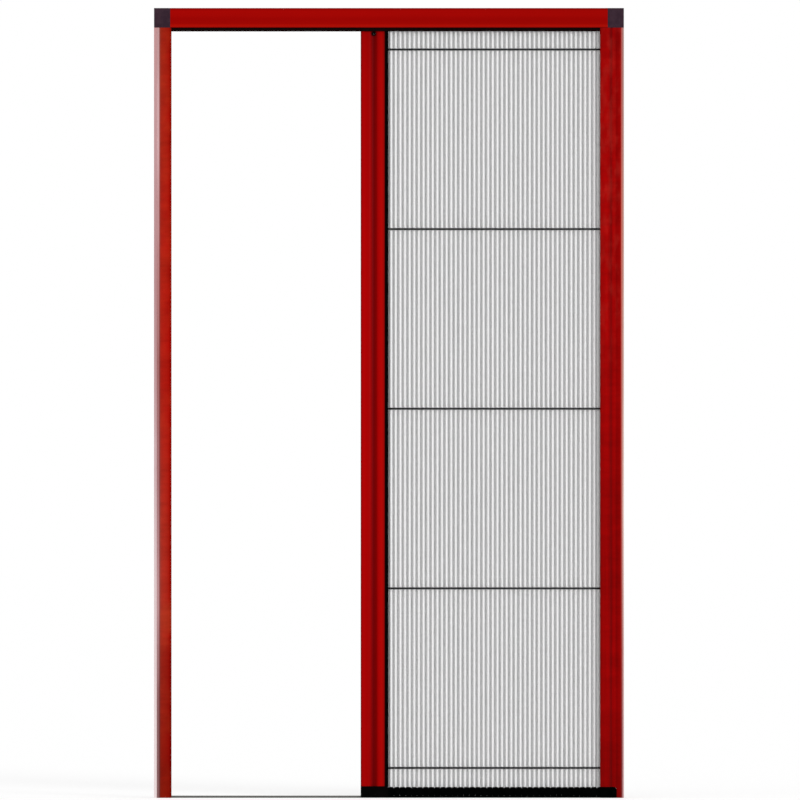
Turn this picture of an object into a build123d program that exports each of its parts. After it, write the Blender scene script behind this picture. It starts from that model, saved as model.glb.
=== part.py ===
"""Retractable pleated screen door, half open, in millimetres.

X runs along the wall from the latch jamb to the storage jamb, Y runs into the picture
and Z is up. The origin is on the flat outer face of the latch jamb, at the floor and
half way through the depth of the frame. Every section is the same front and back.
"""
import os
from math import hypot

from build123d import *

# Frame
FRAME_WIDTH = 1250.0
FRAME_HEIGHT = 2101.0
FRAME_DEPTH = 44.0
FRAME_WALL = 1.6
FIT = 0.3
OVERCUT = 1.0

# Header rail
HEADER_HEIGHT = 52.0
HEADER_CHAMBER = 17.5
HEADER_SHELF_RISE = 8.0
HEADER_SHELF_REACH = 6.0
HEADER_SHELF_WALL = 1.2
HEADER_BEAD_HEIGHT = 6.5
HEADER_BEAD_PROUD = 0.8
HEADER_PILE_DROP = 7.5
HEADER_PILE_DEPTH = 5.6

# Corner caps
CAP_WIDTH = 43.0
CAP_PROUD = 0.6
CAP_EDGE = 5.0
TENON_LENGTH = 25.0

# Latch jamb
LATCH_WIDTH = 46.0
EDGE_RECESS_DEPTH = 8.0
LATCH_TRIM_WIDTH = 16.0
JAMB_RIB = 1.8
JAMB_RIB_WALL = 1.0
LATCH_PILE_WIDTH = 5.0
MAGNET_WIDTH = 14.0
MAGNET_DEPTH = 6.0
HOLDER_WALL = 1.5
HOLDER_SET_BACK = 1.0

# Storage jamb
STORAGE_WIDTH = 63.2
STORAGE_TRIM_WIDTH = 8.0
STORAGE_LIP = 8.0
JAMB_GROOVE_CENTRE = 31.5
JAMB_GROOVE_WIDTH = 14.0
JAMB_GROOVE_DEPTH = 3.0
ANCHOR_INSET = 16.8
ANCHOR_WIDTH = 20.4
ANCHOR_DEPTH = 8.0
STORAGE_PILE_WIDTH = 5.0
PILE_PLAY = 0.7
TRIM_GROOVE_WIDTH = 1.6
TRIM_GROOVE_DEPTH = 0.8

# Fixing holes in the two jambs
FIXING_HOLE_RADIUS = 2.5
FIXING_FOOT_INSET = 150.0
FIXING_HEAD_INSET = 149.0
FIXING_HOLE_COUNT = 3

# Floor strip and the foot of the storage jamb
STRIP_WIDTH = 20.0
STRIP_HEIGHT = 5.5
STRIP_EDGE = 1.5
FOOT_HEIGHT = 29.0
FOOT_END_WALL = 5.5
FOOT_CORNER = 8.0

# Pull bar, with its nose where the photograph shows it
BAR_NOSE_X = 549.8
BAR_WIDTH = 73.2
BAR_DEPTH = 28.0
BAR_WALL = 1.5
BAR_CORNER = 2.0
BAR_CARRIER_WIDTH = 9.2
BAR_CARRIER_TONGUE = 3.0
BAR_TOP_CLEARANCE = 5.0
BAR_GROOVE_CENTRE = 34.4
BAR_GROOVE_WIDTH = 17.0
BAR_GROOVE_DEPTH = 5.0
BAR_GROOVE_ROUND = 6.0
BAR_MAGNET_DEPTH = 3.0
BAR_SCREW_RADIUS = 2.8
BAR_SCREW_HEAD = 1.4
BAR_SCREW_DROP = 11.0
SHOE_HEIGHT = 30.0
SHOE_CORNER = 6.0
SHOE_PLUG = 12.0
SHOE_LENGTH = 50.0
SHOE_SHIFT = 7.0
SHOE_HEAD_HEIGHT = 14.0
SHOE_SIDE_PLAY = 1.0
FLOOR_CLEARANCE = 1.0

# Pleated screen
PLEAT_COUNT = 49
PLEAT_DEPTH = 18.6
FABRIC = 0.5
HEM_CLEARANCE = 4.0

# Guide cords
CORD_RADIUS = 1.6
CORD_FORWARD = 5.5
CORD_COUNT = 5
CORD_FOOT_INSET = 79.4
CORD_HEAD_INSET = 109.9
CORD_SIDE_COUNT = 8
EYELET_BORE = 2.0
EYELET_RADIUS = 3.4

# Bottom chain
LINK_COUNT = 39
LINK_WIDTH = 26.0
LINK_TOP_GAP = 0.5
LINK_GAP = 0.7
LINK_SHOULDER = 1.4
HINGE_DROP = 1.5
HINGE_WIDTH = 10.0
HINGE_ROOT = 1.0
STRIP_PLAY = 0.6

# Places worked out from the sizes
FACE = FRAME_DEPTH / 2
INNER_FACE = FACE - FRAME_WALL
RECESS_FACE = FACE - EDGE_RECESS_DEPTH
JAMB_TOP = FRAME_HEIGHT - HEADER_HEIGHT
STORAGE_X = FRAME_WIDTH - STORAGE_WIDTH
HEADER_SHELF_Z = JAMB_TOP + HEADER_SHELF_RISE
CHAMBER_Z = FRAME_HEIGHT - HEADER_CHAMBER
BAR_FACE = BAR_DEPTH / 2
BAR_BACK_X = BAR_NOSE_X + BAR_WIDTH
BAR_CARRIER_X = BAR_BACK_X - BAR_CARRIER_WIDTH
BAR_FOOT_Z = FLOOR_CLEARANCE + SHOE_HEIGHT
BAR_TOP_Z = JAMB_TOP - BAR_TOP_CLEARANCE
ANCHOR_BACK_X = FRAME_WIDTH - ANCHOR_INSET
ANCHOR_X = ANCHOR_BACK_X - ANCHOR_DEPTH
FOOT_END_X = ANCHOR_X + FOOT_END_WALL
SCREEN_FOOT_Z = FOOT_HEIGHT + FLOOR_CLEARANCE
SCREEN_TOP_Z = JAMB_TOP - HEM_CLEARANCE
CORD_STEP = (FRAME_HEIGHT - CORD_HEAD_INSET - CORD_FOOT_INSET) / (CORD_COUNT - 1)
CORD_HEIGHTS = [CORD_FOOT_INSET + CORD_STEP * step for step in range(CORD_COUNT)]
FIXING_STEP = (JAMB_TOP - FIXING_HEAD_INSET - FIXING_FOOT_INSET) / (FIXING_HOLE_COUNT - 1)
FIXING_HEIGHTS = [FIXING_FOOT_INSET + FIXING_STEP * step for step in range(FIXING_HOLE_COUNT)]
LATCH_PILE_X = LATCH_WIDTH - JAMB_RIB_WALL - LATCH_PILE_WIDTH
LATCH_MAGNET_X = LATCH_TRIM_WIDTH + FRAME_WALL + HOLDER_WALL
BAR_CHAMBER_HALF = BAR_FACE - BAR_WALL - FIT


def block(x0, x1, y0, y1, z0, z1):
    """A block between two opposite corners."""
    middle = Pos((x0 + x1) / 2, (y0 + y1) / 2, (z0 + z1) / 2)
    return middle * Box(x1 - x0, y1 - y0, z1 - z0)


def area(u0, u1, v0, v1):
    """A rectangle between two opposite corners of a section."""
    return Pos((u0 + u1) / 2, (v0 + v1) / 2) * Rectangle(u1 - u0, v1 - v0)


def both_sides(points):
    """The corners of a closed outline from those of its half with positive Y."""
    return [*points, *[(x, -y) for x, y in reversed(points)]]


def walled(corners, wall):
    """The wall of a closed outline of straight edges, measured inwards."""
    points = [Vector(x, y) for x, y in corners]
    count = len(points)
    turn = sum(points[k - 1].cross(points[k]).Z for k in range(count))
    inner = []
    for k, point in enumerate(points):
        before = (point - points[k - 1]).normalized()
        after = (points[(k + 1) % count] - point).normalized()
        mitre = after - before
        inward = 1 if turn > 0 else -1
        width = inward * wall / before.cross(mitre).Z
        inner.append(point + mitre * width)
    return Polygon(*corners, align=None) - Polygon(*[(p.X, p.Y) for p in inner], align=None)


def upright(section, z0, z1):
    """A section drawn in X and Y, run up from z0 to z1."""
    return extrude(Pos(0, 0, z0) * section, amount=z1 - z0, dir=(0, 0, 1))


def rail(section, x0, x1):
    """A section drawn in Y and Z, run along the wall from x0 to x1."""
    return extrude(Plane.YZ.offset(x0) * section, amount=x1 - x0, dir=(1, 0, 0))


def rod(radius, x0, x1, z):
    """A round rod along X on the middle plane of the door."""
    return rail(Pos(0, z) * Circle(radius), x0, x1)


def cord_run(radius, x0, x1, z):
    """A rod with few flats on the line of a guide cord."""
    section = RegularPolygon(radius, CORD_SIDE_COUNT, major_radius=False)
    return rail(Pos(-CORD_FORWARD, z) * section, x0, x1)


def cross_pin(radius, x, y0, y1, z):
    """A round pin along Y."""
    middle = Pos(x, (y0 + y1) / 2, z)
    return middle * Rot(90, 0, 0) * Cylinder(radius, y1 - y0)


def fixing_holes(x0, x1):
    """The cutters of the screw holes in the web of a jamb."""
    return [rod(FIXING_HOLE_RADIUS, x0, x1, z) for z in FIXING_HEIGHTS]


def latch_jamb():
    """U section, open towards the door, with its outer corners stepped in for the trim."""
    corners = both_sides([
        (LATCH_WIDTH, FACE),
        (LATCH_TRIM_WIDTH, FACE),
        (LATCH_TRIM_WIDTH, RECESS_FACE),
        (0, RECESS_FACE),
    ])
    section = walled(corners, FRAME_WALL)
    section -= area(LATCH_WIDTH - FRAME_WALL, LATCH_WIDTH, -INNER_FACE, INNER_FACE)
    for side in (-1, 1):
        for rib_x in (LATCH_PILE_X - JAMB_RIB_WALL, LATCH_PILE_X + LATCH_PILE_WIDTH):
            rib_y = sorted((side * INNER_FACE, side * (INNER_FACE - JAMB_RIB)))
            section += area(rib_x, rib_x + JAMB_RIB_WALL, *rib_y)
    jamb = upright(section, 0, JAMB_TOP)
    for hole in fixing_holes(-OVERCUT, FRAME_WALL + OVERCUT):
        jamb -= hole
    return jamb


def latch_insert():
    """Snap-in channel behind the latch, with two arms that hold the magnet strip."""
    web_x = LATCH_TRIM_WIDTH + FRAME_WALL
    section = area(web_x, web_x + HOLDER_WALL, -INNER_FACE, INNER_FACE)
    arm_y = MAGNET_WIDTH / 2
    for side in (-1, 1):
        span = sorted((side * arm_y, side * (arm_y + HOLDER_WALL)))
        section += area(web_x, LATCH_MAGNET_X + MAGNET_DEPTH - HOLDER_SET_BACK, *span)
        flange = sorted((side * INNER_FACE, side * (INNER_FACE - HOLDER_WALL)))
        section += area(web_x, LATCH_MAGNET_X + MAGNET_DEPTH, *flange)
    return upright(section, 0, JAMB_TOP)


def latch_magnet_strip():
    """Magnet strip that the pull bar closes on."""
    half = MAGNET_WIDTH / 2
    section = area(LATCH_MAGNET_X, LATCH_MAGNET_X + MAGNET_DEPTH, -half, half)
    return upright(section, 0, JAMB_TOP)


def latch_pile(side):
    """Brush pile along one lip of the latch jamb, up to the face of the pull bar."""
    span = sorted((side * INNER_FACE, side * (BAR_FACE + PILE_PLAY)))
    section = area(LATCH_PILE_X, LATCH_PILE_X + LATCH_PILE_WIDTH, *span)
    return upright(section, 0, JAMB_TOP)


def edge_trim(side, x0, x1):
    """Cover strip in the stepped corner of a jamb, with a shadow groove down its face."""
    section = area(x0, x1, *sorted((side * RECESS_FACE, side * FACE)))
    groove_x = (x0 + x1 - TRIM_GROOVE_WIDTH) / 2
    groove = sorted((side * (FACE - TRIM_GROOVE_DEPTH), side * (FACE + OVERCUT)))
    section -= area(groove_x, groove_x + TRIM_GROOVE_WIDTH, *groove)
    return upright(section, 0, JAMB_TOP)


def storage_jamb():
    """U section for the folded screen, with lips, a V groove and a notch for the foot."""
    groove_x = STORAGE_X + JAMB_GROOVE_CENTRE
    corners = both_sides([
        (STORAGE_X, FACE),
        (groove_x - JAMB_GROOVE_WIDTH / 2, FACE),
        (groove_x, FACE - JAMB_GROOVE_DEPTH),
        (groove_x + JAMB_GROOVE_WIDTH / 2, FACE),
        (FRAME_WIDTH - STORAGE_TRIM_WIDTH, FACE),
        (FRAME_WIDTH - STORAGE_TRIM_WIDTH, RECESS_FACE),
        (FRAME_WIDTH, RECESS_FACE),
    ])
    section = walled(corners, FRAME_WALL)
    mouth = FACE - STORAGE_LIP
    section -= area(STORAGE_X - OVERCUT, STORAGE_X + FRAME_WALL, -mouth, mouth)
    jamb = upright(section, 0, JAMB_TOP)
    side = FACE + OVERCUT
    notch_x1 = FOOT_END_X + FIT
    notch = block(STORAGE_X - OVERCUT, notch_x1, -side, side, -OVERCUT, FOOT_HEIGHT + FIT)
    corner = notch.edges().filter_by(Axis.Y).group_by(Axis.Z)[-1].sort_by(Axis.X)[-1]
    jamb -= fillet(corner, FOOT_CORNER + FIT)
    for hole in fixing_holes(FRAME_WIDTH - FRAME_WALL - OVERCUT, FRAME_WIDTH + OVERCUT):
        jamb -= hole
    return jamb


def storage_insert():
    """Snap-in channel in the storage jamb, with two arms that hold the anchor strip."""
    web_x1 = ANCHOR_BACK_X + HOLDER_WALL
    section = area(ANCHOR_BACK_X, web_x1, -INNER_FACE, INNER_FACE)
    arm_y = ANCHOR_WIDTH / 2
    for side in (-1, 1):
        span = sorted((side * arm_y, side * (arm_y + HOLDER_WALL)))
        section += area(ANCHOR_X + HOLDER_SET_BACK, web_x1, *span)
    return upright(section, SCREEN_FOOT_Z, JAMB_TOP)


def screen_anchor_strip():
    """Strip that carries the fixed end of the screen and of the guide cords."""
    half = ANCHOR_WIDTH / 2
    return upright(area(ANCHOR_X, ANCHOR_BACK_X, -half, half), SCREEN_FOOT_Z, JAMB_TOP)


def storage_pile(side):
    """Brush pile behind one lip of the storage jamb, up to the pleats."""
    pile_x = STORAGE_X + FRAME_WALL
    span = sorted((side * INNER_FACE, side * (PLEAT_DEPTH / 2 + PILE_PLAY)))
    section = area(pile_x, pile_x + STORAGE_PILE_WIDTH, *span)
    return upright(section, SCREEN_FOOT_Z, JAMB_TOP)


def chain_housing():
    """Foot of the storage jamb, open towards the door where the chain runs in."""
    tunnel = LINK_WIDTH / 2 + STRIP_PLAY
    foot = block(STORAGE_X + FIT, FOOT_END_X, -FACE, FACE, 0, FOOT_HEIGHT)
    corner = foot.edges().filter_by(Axis.Y).group_by(Axis.Z)[-1].sort_by(Axis.X)[-1]
    foot = fillet(corner, FOOT_CORNER)
    foot -= block(STORAGE_X, ANCHOR_X, -tunnel, tunnel, -OVERCUT, FOOT_HEIGHT + OVERCUT)
    return foot


def header_rail():
    """Rail open downwards, with a closed upper chamber, two shelves and a face bead."""
    section = area(-FACE, FACE, JAMB_TOP, FRAME_HEIGHT)
    section -= area(-INNER_FACE, INNER_FACE, JAMB_TOP, FRAME_HEIGHT - FRAME_WALL)
    section += area(-INNER_FACE, INNER_FACE, CHAMBER_Z - FRAME_WALL, CHAMBER_Z)
    for side in (-1, 1):
        shelf = sorted((side * INNER_FACE, side * (INNER_FACE - HEADER_SHELF_REACH)))
        section += area(*shelf, HEADER_SHELF_Z, HEADER_SHELF_Z + HEADER_SHELF_WALL)
        bead = sorted((side * FACE, side * (FACE + HEADER_BEAD_PROUD)))
        section += area(*bead, JAMB_TOP, JAMB_TOP + HEADER_BEAD_HEIGHT)
    return rail(section, CAP_WIDTH, FRAME_WIDTH - CAP_WIDTH)


def header_pile(side):
    """Brush pile under one shelf of the header, hanging out below the rail."""
    span = sorted((side * INNER_FACE, side * (INNER_FACE - HEADER_PILE_DEPTH)))
    section = area(*span, JAMB_TOP - HEADER_PILE_DROP, HEADER_SHELF_Z)
    return rail(section, LATCH_WIDTH, STORAGE_X)


def corner_cap(outer_x, inner_x, tenon_x0, tenon_x1):
    """Moulded corner with one tenon in the header chamber and one in a jamb."""
    left, right = sorted((outer_x, inner_x))
    side = FACE + CAP_PROUD
    cap = block(left, right, -side, side, JAMB_TOP, FRAME_HEIGHT)
    outer = cap.faces().sort_by(Axis.X)[0 if outer_x < inner_x else -1]
    cap = chamfer(outer.edges().filter_by(Axis.Z), CAP_EDGE, CAP_PROUD * 2)
    reach = sorted((inner_x, inner_x + (TENON_LENGTH if outer_x < inner_x else -TENON_LENGTH)))
    chamber = INNER_FACE - FIT
    cap += block(*reach, -chamber, chamber, CHAMBER_Z + FIT, FRAME_HEIGHT - FRAME_WALL - FIT)
    narrow = RECESS_FACE - FRAME_WALL - FIT
    cap += block(tenon_x0, tenon_x1, -narrow, narrow, JAMB_TOP - TENON_LENGTH, JAMB_TOP)
    return cap


def floor_strip():
    """Low guide strip on the floor, under the shoe and the chain."""
    half = STRIP_WIDTH / 2
    section = Polygon(
        (-half, 0),
        (half, 0),
        (half, STRIP_HEIGHT - STRIP_EDGE),
        (half - STRIP_EDGE, STRIP_HEIGHT),
        (STRIP_EDGE - half, STRIP_HEIGHT),
        (-half, STRIP_HEIGHT - STRIP_EDGE),
        align=None,
    )
    return rail(section, LATCH_WIDTH, STORAGE_X)


def pleated_screen():
    """One folded sheet between the pull bar and the anchor strip, holed for the cords."""
    tab_x0 = BAR_BACK_X + FABRIC
    tab_x1 = ANCHOR_X - FABRIC
    half_pitch = (tab_x1 - tab_x0) / PLEAT_COUNT / 2
    slope = hypot(half_pitch, PLEAT_DEPTH) / half_pitch
    thickness = FABRIC * slope
    fold_y = (PLEAT_DEPTH - thickness) / 2
    folds = [
        (tab_x0 + half_pitch * step, -fold_y if step % 2 else fold_y)
        for step in range(2 * PLEAT_COUNT + 1)
    ]
    front = [(x, y - thickness / 2) for x, y in folds]
    back = [(x, y + thickness / 2) for x, y in reversed(folds)]
    section = Polygon(*front, *back, align=None)
    tab = PLEAT_DEPTH / 2
    section += area(BAR_BACK_X, tab_x0, -tab, tab)
    section += area(tab_x1, ANCHOR_X, -tab, tab)
    screen = upright(section, SCREEN_FOOT_Z, SCREEN_TOP_Z)
    hole = RegularPolygon(CORD_RADIUS + FIT, 3, major_radius=False)
    for z in CORD_HEIGHTS:
        screen -= rail(Pos(-CORD_FORWARD, z) * hole, BAR_BACK_X - OVERCUT, ANCHOR_X + OVERCUT)
    return screen


def guide_cord(z):
    """One taut cord from the pull bar to the anchor strip."""
    return cord_run(CORD_RADIUS, BAR_CARRIER_X + BAR_CARRIER_WIDTH / 2, ANCHOR_X, z)


def chain_link(x0, pitch, is_last):
    """One link that straddles the floor strip, with a hinge tongue into the next link."""
    x1 = x0 + pitch - (0 if is_last else LINK_GAP)
    top = FOOT_HEIGHT - LINK_TOP_GAP
    half = LINK_WIDTH / 2
    shoulder = top - LINK_SHOULDER
    profile = Polygon(
        (x0, FLOOR_CLEARANCE),
        (x1, FLOOR_CLEARANCE),
        (x1, shoulder),
        (x1 - LINK_SHOULDER, top),
        (x0 + LINK_SHOULDER, top),
        (x0, shoulder),
        align=None,
    )
    link = extrude(Plane.XZ.offset(-half) * profile, amount=LINK_WIDTH, dir=(0, -1, 0))
    skirt = STRIP_WIDTH / 2 + STRIP_PLAY
    skirt_z = STRIP_HEIGHT + STRIP_PLAY
    link -= block(x0, x1, -skirt, skirt, 0, skirt_z)
    if not is_last:
        tongue = HINGE_WIDTH / 2
        tongue_z = shoulder - HINGE_DROP
        link += block(x1 - HINGE_ROOT, x0 + pitch, -tongue, tongue, skirt_z, tongue_z)
    return link


def bottom_chain():
    """Row of links from the pull bar into the foot of the storage jamb."""
    pitch = (ANCHOR_X - BAR_BACK_X) / LINK_COUNT
    return [
        chain_link(BAR_BACK_X + pitch * step, pitch, step == LINK_COUNT - 1)
        for step in range(LINK_COUNT)
    ]


def pull_bar_profile():
    """Hollow grip section with a finger groove on both faces and a slot at each end."""
    outline = area(BAR_NOSE_X, BAR_CARRIER_X, -BAR_FACE, BAR_FACE)
    outline = fillet(outline.vertices().group_by(Axis.X)[0], BAR_CORNER)
    half = BAR_GROOVE_WIDTH / 2
    groove_radius = (half ** 2 + BAR_GROOVE_DEPTH ** 2) / (2 * BAR_GROOVE_DEPTH)
    groove_x = BAR_NOSE_X + BAR_GROOVE_CENTRE
    for side in (-1, 1):
        centre_y = side * (BAR_FACE - BAR_GROOVE_DEPTH + groove_radius)
        outline -= Pos(groove_x, centre_y) * Circle(groove_radius)
    rims = [v for v in outline.vertices() if abs(abs(v.X - groove_x) - half) < FIT]
    outline = fillet(rims, BAR_GROOVE_ROUND)
    section = outline - offset(outline, -BAR_WALL, kind=Kind.INTERSECTION)
    magnet = MAGNET_WIDTH / 2
    pocket_x = BAR_NOSE_X + BAR_MAGNET_DEPTH
    section += area(BAR_NOSE_X + BAR_WALL, pocket_x + BAR_WALL, -magnet - BAR_WALL, magnet + BAR_WALL)
    section -= area(BAR_NOSE_X, pocket_x, -magnet, magnet)
    tongue = BAR_FACE - 2 * BAR_WALL
    tongue_x = BAR_CARRIER_X - BAR_CARRIER_TONGUE
    section += area(tongue_x - BAR_WALL, BAR_CARRIER_X, -tongue - BAR_WALL, tongue + BAR_WALL)
    section -= area(tongue_x, BAR_CARRIER_X, -tongue, tongue)
    profile = upright(section, BAR_FOOT_Z, BAR_TOP_Z)
    for side in (-1, 1):
        profile -= bar_groove_screw(side, BAR_SCREW_RADIUS + FIT / 2)
    return profile


def bar_magnet_strip():
    """Magnet strip in the nose of the pull bar."""
    half = MAGNET_WIDTH / 2
    section = area(BAR_NOSE_X, BAR_NOSE_X + BAR_MAGNET_DEPTH, -half, half)
    return upright(section, BAR_FOOT_Z, BAR_TOP_Z)


def bar_carrier_strip():
    """Strip on the pull bar that the moving end of the screen is fixed to."""
    tongue = BAR_FACE - 2 * BAR_WALL
    section = area(BAR_CARRIER_X, BAR_BACK_X, -BAR_FACE, BAR_FACE)
    section += area(BAR_CARRIER_X - BAR_CARRIER_TONGUE, BAR_CARRIER_X, -tongue, tongue)
    strip = upright(section, BAR_FOOT_Z, BAR_TOP_Z)
    for z in CORD_HEIGHTS:
        strip -= cord_run(EYELET_RADIUS, BAR_CARRIER_X - BAR_CARRIER_TONGUE, BAR_BACK_X, z)
    return strip


def bar_cord_eyelet(z):
    """Lining of one cord hole in the carrier strip."""
    x0 = BAR_CARRIER_X - BAR_CARRIER_TONGUE
    lining = cord_run(EYELET_RADIUS, x0, BAR_BACK_X, z)
    return lining - cord_run(EYELET_BORE, x0, BAR_BACK_X, z)


def bar_bottom_shoe():
    """Foot of the pull bar, which straddles the floor strip, with a plug into the bar."""
    shoe = block(BAR_NOSE_X, BAR_BACK_X, -BAR_FACE, BAR_FACE, FLOOR_CLEARANCE, BAR_FOOT_Z)
    corner = shoe.edges().filter_by(Axis.Y).group_by(Axis.Z)[0].sort_by(Axis.X)[0]
    shoe = fillet(corner, SHOE_CORNER)
    skirt = STRIP_WIDTH / 2 + STRIP_PLAY
    shoe -= block(BAR_NOSE_X, BAR_BACK_X, -skirt, skirt, 0, STRIP_HEIGHT + STRIP_PLAY)
    for x0, x1 in bar_chambers():
        half = BAR_CHAMBER_HALF
        shoe += block(x0, x1, -half, half, BAR_FOOT_Z, BAR_FOOT_Z + SHOE_PLUG)
    return shoe


def bar_chambers():
    """Reach in X of the two chambers of the pull bar, each side of the groove."""
    groove_x = BAR_NOSE_X + BAR_GROOVE_CENTRE
    reach = BAR_GROOVE_WIDTH / 2 + BAR_WALL + BAR_GROOVE_ROUND / 2
    first = (BAR_NOSE_X + BAR_MAGNET_DEPTH + BAR_WALL + FIT, groove_x - reach)
    second = (groove_x + reach, BAR_CARRIER_X - BAR_CARRIER_TONGUE - BAR_WALL - FIT)
    return [first, second]


def bar_top_shoe():
    """Head of the pull bar, which runs on the two shelves of the header."""
    centre_x = (BAR_NOSE_X + BAR_BACK_X) / 2 + SHOE_SHIFT
    x0 = centre_x - SHOE_LENGTH / 2
    x1 = centre_x + SHOE_LENGTH / 2
    neck = INNER_FACE - HEADER_SHELF_REACH - SHOE_SIDE_PLAY
    head = INNER_FACE - SHOE_SIDE_PLAY
    head_z = HEADER_SHELF_Z + HEADER_SHELF_WALL + SHOE_SIDE_PLAY
    shoe = block(x0, x1, -neck, neck, BAR_TOP_Z, head_z)
    shoe += block(x0, x1, -head, head, head_z, head_z + SHOE_HEAD_HEIGHT)
    for plug_x0, plug_x1 in bar_chambers():
        half = BAR_CHAMBER_HALF
        shoe += block(plug_x0, plug_x1, -half, half, BAR_TOP_Z - SHOE_PLUG, BAR_TOP_Z)
    return shoe


def bar_groove_screw(side, radius):
    """Round screw head in the finger groove, near the top of the bar, or its hole."""
    floor_y = BAR_FACE - BAR_GROOVE_DEPTH
    span = sorted((side * (floor_y - BAR_WALL), side * (floor_y + BAR_SCREW_HEAD)))
    screw_x = BAR_NOSE_X + BAR_GROOVE_CENTRE
    return cross_pin(radius, screw_x, *span, BAR_TOP_Z - BAR_SCREW_DROP)


def door_pieces():
    """Every node of the door by name."""
    storage_narrow_x = FRAME_WIDTH - STORAGE_TRIM_WIDTH
    pieces = {
        "latch_jamb": latch_jamb(),
        "latch_insert": latch_insert(),
        "latch_magnet_strip": latch_magnet_strip(),
        "latch_pile_front": latch_pile(-1),
        "latch_pile_back": latch_pile(1),
        "latch_edge_trim_front": edge_trim(-1, 0, LATCH_TRIM_WIDTH),
        "latch_edge_trim_back": edge_trim(1, 0, LATCH_TRIM_WIDTH),
        "storage_jamb": storage_jamb(),
        "storage_insert": storage_insert(),
        "screen_anchor_strip": screen_anchor_strip(),
        "storage_pile_front": storage_pile(-1),
        "storage_pile_back": storage_pile(1),
        "storage_edge_trim_front": edge_trim(-1, storage_narrow_x, FRAME_WIDTH),
        "storage_edge_trim_back": edge_trim(1, storage_narrow_x, FRAME_WIDTH),
        "chain_housing": chain_housing(),
        "header_rail": header_rail(),
        "header_pile_front": header_pile(-1),
        "header_pile_back": header_pile(1),
        "corner_cap_left": corner_cap(
            0, CAP_WIDTH, FRAME_WALL + FIT, LATCH_TRIM_WIDTH - FIT
        ),
        "corner_cap_right": corner_cap(
            FRAME_WIDTH,
            FRAME_WIDTH - CAP_WIDTH,
            storage_narrow_x - FRAME_WALL + FIT,
            FRAME_WIDTH - FRAME_WALL - FIT,
        ),
        "floor_strip": floor_strip(),
        "pleated_screen": pleated_screen(),
        "pull_bar_profile": pull_bar_profile(),
        "bar_carrier_strip": bar_carrier_strip(),
        "bar_magnet_strip": bar_magnet_strip(),
        "bar_bottom_shoe": bar_bottom_shoe(),
        "bar_top_shoe": bar_top_shoe(),
        "bar_groove_screw_front": bar_groove_screw(-1, BAR_SCREW_RADIUS),
        "bar_groove_screw_back": bar_groove_screw(1, BAR_SCREW_RADIUS),
        "bottom_chain": Compound(children=bottom_chain()),
        "bar_cord_eyelets": Compound(children=[bar_cord_eyelet(z) for z in CORD_HEIGHTS]),
    }
    for number, z in enumerate(CORD_HEIGHTS, 1):
        pieces[f"guide_cord_{number}"] = guide_cord(z)
    return pieces


def main():
    """Write one STEP file for each node."""
    os.makedirs("parts", exist_ok=True)
    for name, piece in door_pieces().items():
        piece.label = name
        export_step(piece, f"parts/{name}.step")


main()
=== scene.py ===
"""Dress the retractable pleated screen door: finishes, pleats, cords, chain, light and camera.

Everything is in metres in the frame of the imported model: X along the wall from the latch
jamb to the storage jamb, Y into the picture, Z up from the floor.
"""
from __future__ import annotations

import logging
import math
from dataclasses import dataclass
from enum import Enum

import bmesh
import bpy
from mathutils import Matrix, Vector


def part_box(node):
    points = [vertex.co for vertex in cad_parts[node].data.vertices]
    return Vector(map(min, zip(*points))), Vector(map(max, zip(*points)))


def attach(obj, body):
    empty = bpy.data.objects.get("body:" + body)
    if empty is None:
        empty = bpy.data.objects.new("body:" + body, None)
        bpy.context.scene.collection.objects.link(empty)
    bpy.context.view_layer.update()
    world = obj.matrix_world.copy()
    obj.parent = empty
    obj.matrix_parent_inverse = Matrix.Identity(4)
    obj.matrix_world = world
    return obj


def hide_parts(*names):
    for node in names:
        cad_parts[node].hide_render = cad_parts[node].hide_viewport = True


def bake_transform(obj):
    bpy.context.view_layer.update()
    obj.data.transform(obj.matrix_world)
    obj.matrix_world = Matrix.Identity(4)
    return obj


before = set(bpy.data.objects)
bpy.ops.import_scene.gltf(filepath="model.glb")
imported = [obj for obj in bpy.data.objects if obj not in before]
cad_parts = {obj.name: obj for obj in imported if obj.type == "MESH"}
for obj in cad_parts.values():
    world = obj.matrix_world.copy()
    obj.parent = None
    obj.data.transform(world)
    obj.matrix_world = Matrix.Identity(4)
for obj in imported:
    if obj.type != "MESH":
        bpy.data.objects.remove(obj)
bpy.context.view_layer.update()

log = logging.getLogger("screen_door")

FRAME_BODY = "door_frame"
BAR_BODY = "pull_bar"
CORD_NODES = [f"guide_cord_{number}" for number in range(1, 6)]
MM = 0.001
MERGE = 0.01 * MM
FLAT_ANGLE = math.radians(1)
SHARP_ANGLE = math.radians(35)
CHAIN_GAP = 0.3 * MM
QUARTER_TURN = math.pi / 2

Socket = bpy.types.NodeSocket
Value = Socket | float


class Axis(Enum):
    """An axis of the door's frame."""

    X = "X"
    Y = "Y"
    Z = "Z"


class Side(Enum):
    """Face of the door, by the sign of Y on it."""

    FRONT = -1
    BACK = 1


@dataclass(frozen=True)
class Paint:
    """A colour as the eye reads it, each part from 0 to 255."""

    red: float
    green: float
    blue: float

    def linear(self) -> tuple[float, float, float, float]:
        """Give the colour in the linear light that shaders use, by the sRGB curve.

        Returns:
            Red, green and blue from 0 to 1, and an alpha of 1.
        """
        parts = (part / 255 for part in (self.red, self.green, self.blue))
        curve = tuple(p / 12.92 if p < 0.04045 else ((p + 0.055) / 1.055) ** 2.4 for p in parts)
        return (*curve, 1.0)


def grey(level: float) -> Paint:
    """Give a neutral paint."""
    return Paint(level, level, level)


WHITE = grey(255)
Stops = tuple[tuple[float, Paint], ...]


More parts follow.
